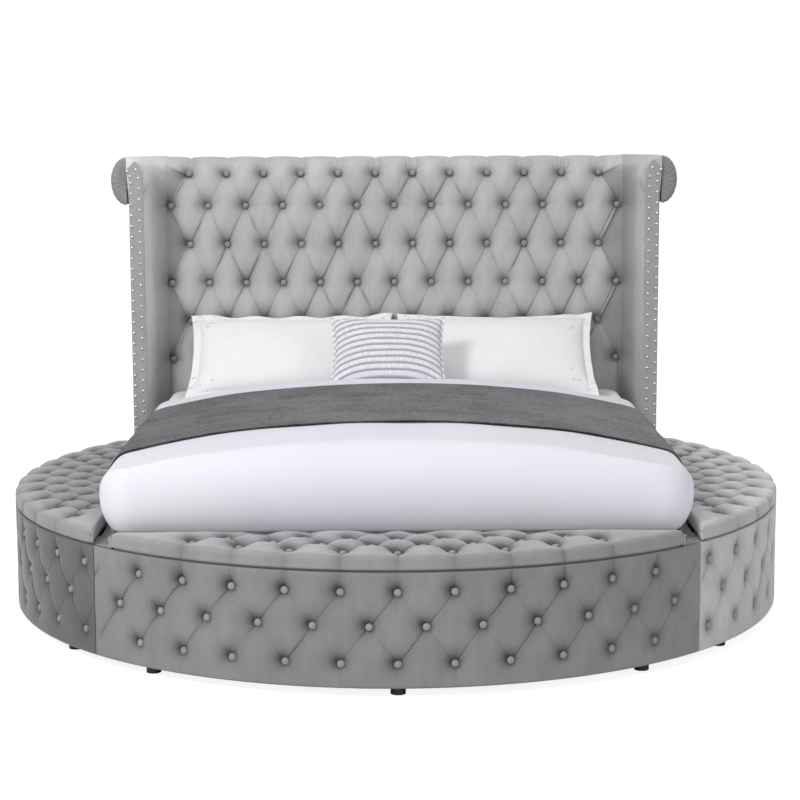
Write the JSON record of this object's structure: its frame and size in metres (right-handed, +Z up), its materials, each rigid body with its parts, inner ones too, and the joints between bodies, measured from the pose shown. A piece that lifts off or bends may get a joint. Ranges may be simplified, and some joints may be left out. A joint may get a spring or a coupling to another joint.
{
  "type": "round bed",
  "caption": "Round storage bed with a buttoned, winged headboard, three curved benches with hinged lids, slats, and a made-up mattress.",
  "frame": {"origin": "on the floor under the middle centre leg, at the centre of the round base", "axes": "+Z up; the foot of the bed looks along -Y and the headboard stands at +Y"},
  "size_m": [2.92, 2.71, 1.675],
  "materials": {
    "velvet": "grey velvet",
    "button_velvet": "grey velvet",
    "plywood": "bare plywood",
    "slat_wood": "planed pine",
    "hinge_steel": "zinc plated",
    "nail_silver": "polished",
    "foot_black": "matte",
    "back_cloth": "matte",
    "mattress_cloth": "knitted",
    "duvet_white": "smooth cotton",
    "throw_grey": "quilted",
    "pillow_white": "smooth cotton",
    "cushion_grey": "tucked cotton"
  },
  "bodies": {
    "bed_frame": {"base_feet": "foot_black", "centre_legs": "slat_wood", "centre_rail": "slat_wood", "front_bottom_board": "plywood", "front_end_blocks": "plywood", "front_fixed_hinge_leaves": "hinge_steel", "front_hinge_pins": "hinge_steel", "front_inner_wall": "velvet", "front_outer_wall": "plywood", "front_wall_buttons": "button_velvet", "front_wall_cover": "velvet", "headboard_back_cover": "back_cloth", "headboard_bolts": "hinge_steel", "headboard_buttons": "button_velvet", "headboard_legs": "slat_wood", "headboard_pad": "velvet", "headboard_panel": "plywood", "left_bottom_board": "plywood", "left_end_blocks": "plywood", "left_fixed_hinge_leaves": "hinge_steel", "left_hinge_pins": "hinge_steel", "left_inner_wall": "velvet", "left_outer_wall": "plywood", "left_trim_strip": "velvet", "left_wall_buttons": "button_velvet", "left_wall_cover": "velvet", "left_wing": "velvet", "left_wing_scroll": "velvet", "nailheads": "nail_silver", "right_bottom_board": "plywood", "right_end_blocks": "plywood", "right_fixed_hinge_leaves": "hinge_steel", "right_hinge_pins": "hinge_steel", "right_inner_wall": "velvet", "right_outer_wall": "plywood", "right_trim_strip": "velvet", "right_wall_buttons": "button_velvet", "right_wall_cover": "velvet", "right_wing": "velvet", "right_wing_scroll": "velvet", "side_rails": "slat_wood", "slats": "slat_wood"},
    "front_lid": {"front_lid_board": "plywood", "front_lid_pad": "velvet", "front_lid_buttons": "button_velvet", "front_lid_hinge_leaves": "hinge_steel"},
    "left_lid": {"left_lid_board": "plywood", "left_lid_pad": "velvet", "left_lid_buttons": "button_velvet", "left_lid_hinge_leaves": "hinge_steel"},
    "right_lid": {"right_lid_board": "plywood", "right_lid_pad": "velvet", "right_lid_buttons": "button_velvet", "right_lid_hinge_leaves": "hinge_steel"},
    "bed_set": {"mattress": "mattress_cloth", "duvet": "duvet_white", "throw": "throw_grey", "left_pillow": "pillow_white", "right_pillow": "pillow_white", "accent_cushion": "cushion_grey"}
  },
  "joints": [
    {"name": "front_lid_hinge", "type": "hinge", "parent": "bed_frame", "child": "front_lid", "pos_m": [0, -1.0816, 0.4091], "axis": [-1, 0, 0], "range_deg": [0, 50]},
    {"name": "left_lid_hinge", "type": "hinge", "parent": "bed_frame", "child": "left_lid", "pos_m": [-1.0316, 0, 0.4091], "axis": [0, 1, 0], "range_deg": [0, 38]},
    {"name": "right_lid_hinge", "type": "hinge", "parent": "bed_frame", "child": "right_lid", "pos_m": [1.0316, 0, 0.4091], "axis": [0, -1, 0], "range_deg": [0, 38]},
    {"name": "bed_set_lift", "type": "slide", "parent": "bed_frame", "child": "bed_set", "axis": [0, 0, 1], "range_m": [0, 0.45]}
  ]
}
